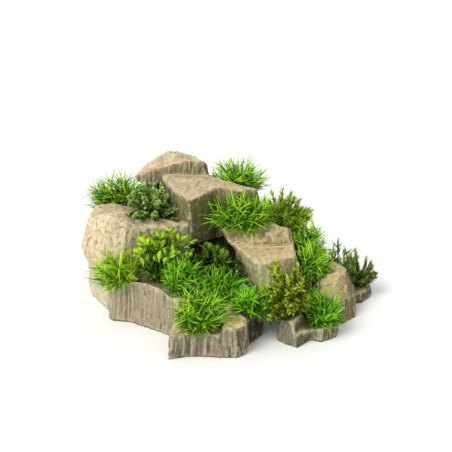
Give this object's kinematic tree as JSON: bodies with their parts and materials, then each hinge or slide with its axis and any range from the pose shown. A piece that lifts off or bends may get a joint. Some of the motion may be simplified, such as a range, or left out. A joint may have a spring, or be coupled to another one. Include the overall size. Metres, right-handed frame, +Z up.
{
  "type": "resin cave ornament",
  "caption": "Free-standing heap of hollow cast resin stones round a small cave, with plug-in plastic plants in sockets.",
  "frame": {"origin": "on the ground, under the threshold stone at the middle of the heap", "axes": "+X to the ornament's right seen from the front, +Y to the back, +Z up"},
  "size_m": [0.36, 0.2395, 0.177],
  "materials": {
    "painted_resin": "matt sand, brown and grey-green paint over cast stone grain",
    "plug_plastic": "satin dark green moulded plastic",
    "grass_lime": "soft satin plastic, dark blue-green at the base and lime at the tips",
    "leaf_olive": "soft satin plastic, brown-green stems and olive leaves",
    "leaf_green": "soft satin plastic, dark stems and mid-green leaves"
  },
  "bodies": {
    "stones": {"summit_slab": "painted_resin", "upper_block": "painted_resin", "summit_plinth": "painted_resin", "left_boulder": "painted_resin", "left_foot": "painted_resin", "front_left_slab": "painted_resin", "front_ledge": "painted_resin", "front_block": "painted_resin", "threshold_stone": "painted_resin", "recess_stone": "painted_resin", "centre_step": "painted_resin", "centre_boulder": "painted_resin", "right_step_tall": "painted_resin", "right_step_low": "painted_resin", "right_boulder": "painted_resin", "far_right_rock": "painted_resin", "rear_left_block": "painted_resin", "rear_right_block": "painted_resin", "right_shoulder": "painted_resin", "rear_lintel": "painted_resin", "rear_wall": "painted_resin"},
    "grass_rear_left": {"grass_rear_left_plug": "plug_plastic", "grass_rear_left_foliage": "grass_lime"},
    "bush_rear_left": {"bush_rear_left_plug": "plug_plastic", "bush_rear_left_foliage": "leaf_olive"},
    "grass_summit": {"grass_summit_plug": "plug_plastic", "grass_summit_foliage": "grass_lime"},
    "grass_upper": {"grass_upper_plug": "plug_plastic", "grass_upper_foliage": "grass_lime"},
    "bush_rear_right": {"bush_rear_right_plug": "plug_plastic", "bush_rear_right_foliage": "leaf_olive"},
    "grass_shoulder_high": {"grass_shoulder_high_plug": "plug_plastic", "grass_shoulder_high_foliage": "grass_lime"},
    "grass_shoulder_low": {"grass_shoulder_low_plug": "plug_plastic", "grass_shoulder_low_foliage": "grass_lime"},
    "sprig_far_right": {"sprig_far_right_plug": "plug_plastic", "sprig_far_right_foliage": "leaf_green"},
    "rosemary_far_right": {"rosemary_far_right_plug": "plug_plastic", "rosemary_far_right_foliage": "leaf_green"},
    "shrub_right_step": {"shrub_right_step_plug": "plug_plastic", "shrub_right_step_foliage": "leaf_olive"},
    "grass_right_step": {"grass_right_step_plug": "plug_plastic", "grass_right_step_foliage": "grass_lime"},
    "bush_right_step": {"bush_right_step_plug": "plug_plastic", "bush_right_step_foliage": "leaf_olive"},
    "grass_recess": {"grass_recess_plug": "plug_plastic", "grass_recess_foliage": "grass_lime"},
    "grass_threshold": {"grass_threshold_plug": "plug_plastic", "grass_threshold_foliage": "leaf_green"},
    "clover_cave": {"clover_cave_plug": "plug_plastic", "clover_cave_foliage": "leaf_green"},
    "grass_front": {"grass_front_plug": "plug_plastic", "grass_front_foliage": "grass_lime"},
    "grass_slab_right": {"grass_slab_right_plug": "plug_plastic", "grass_slab_right_foliage": "grass_lime"},
    "clover_slab": {"clover_slab_plug": "plug_plastic", "clover_slab_foliage": "leaf_green"},
    "grass_slab_left": {"grass_slab_left_plug": "plug_plastic", "grass_slab_left_foliage": "grass_lime"}
  },
  "joints": [
    {"name": "grass_rear_left_lift", "type": "slide", "parent": "stones", "child": "grass_rear_left", "axis": [-0.1727, 0.1045, 0.9794], "range_m": [0, 0.014]},
    {"name": "bush_rear_left_lift", "type": "slide", "parent": "stones", "child": "bush_rear_left", "axis": [-0.0637, -0.4067, 0.9113], "range_m": [0, 0.014]},
    {"name": "grass_summit_lift", "type": "slide", "parent": "stones", "child": "grass_summit", "axis": [0.0691, 0.1392, 0.9879], "range_m": [0, 0.014]},
    {"name": "grass_upper_lift", "type": "slide", "parent": "stones", "child": "grass_upper", "axis": [0, -0.6157, 0.788], "range_m": [0, 0.014]},
    {"name": "bush_rear_right_lift", "type": "slide", "parent": "stones", "child": "bush_rear_right", "axis": [0.1392, 0, 0.9903], "range_m": [0, 0.014]},
    {"name": "grass_shoulder_high_lift", "type": "slide", "parent": "stones", "child": "grass_shoulder_high", "axis": [0.4384, 0, 0.8988], "range_m": [0, 0.014]},
    {"name": "grass_shoulder_low_lift", "type": "slide", "parent": "stones", "child": "grass_shoulder_low", "axis": [0.2034, -0.2079, 0.9568], "range_m": [0, 0.014]},
    {"name": "sprig_far_right_lift", "type": "slide", "parent": "stones", "child": "sprig_far_right", "axis": [0.1045, 0, 0.9945], "range_m": [0, 0.014]},
    {"name": "rosemary_far_right_lift", "type": "slide", "parent": "stones", "child": "rosemary_far_right", "axis": [0.1392, 0, 0.9903], "range_m": [0, 0.014]},
    {"name": "shrub_right_step_lift", "type": "slide", "parent": "stones", "child": "shrub_right_step", "axis": [0, -0.1392, 0.9903], "range_m": [0, 0.014]},
    {"name": "grass_right_step_lift", "type": "slide", "parent": "stones", "child": "grass_right_step", "axis": [0.1378, -0.1392, 0.9806], "range_m": [0, 0.014]},
    {"name": "bush_right_step_lift", "type": "slide", "parent": "stones", "child": "bush_right_step", "axis": [0.0698, 0, 0.9976], "range_m": [0, 0.014]},
    {"name": "grass_recess_lift", "type": "slide", "parent": "stones", "child": "grass_recess", "axis": [0.0627, -0.4384, 0.8966], "range_m": [0, 0.014]},
    {"name": "grass_threshold_lift", "type": "slide", "parent": "stones", "child": "grass_threshold", "axis": [-0.0677, -0.2419, 0.9679], "range_m": [0, 0.014]},
    {"name": "clover_cave_lift", "type": "slide", "parent": "stones", "child": "clover_cave", "axis": [0, 0, 1], "range_m": [0, 0.014]},
    {"name": "grass_front_lift", "type": "slide", "parent": "stones", "child": "grass_front", "axis": [0, -0.2079, 0.9781], "range_m": [0, 0.014]},
    {"name": "grass_slab_right_lift", "type": "slide", "parent": "stones", "child": "grass_slab_right", "axis": [0.1999, -0.2756, 0.9403], "range_m": [0, 0.014]},
    {"name": "clover_slab_lift", "type": "slide", "parent": "stones", "child": "clover_slab", "axis": [0, -0.2079, 0.9781], "range_m": [0, 0.014]},
    {"name": "grass_slab_left_lift", "type": "slide", "parent": "stones", "child": "grass_slab_left", "axis": [-0.1685, -0.2419, 0.9556], "range_m": [0, 0.014]}
  ]
}
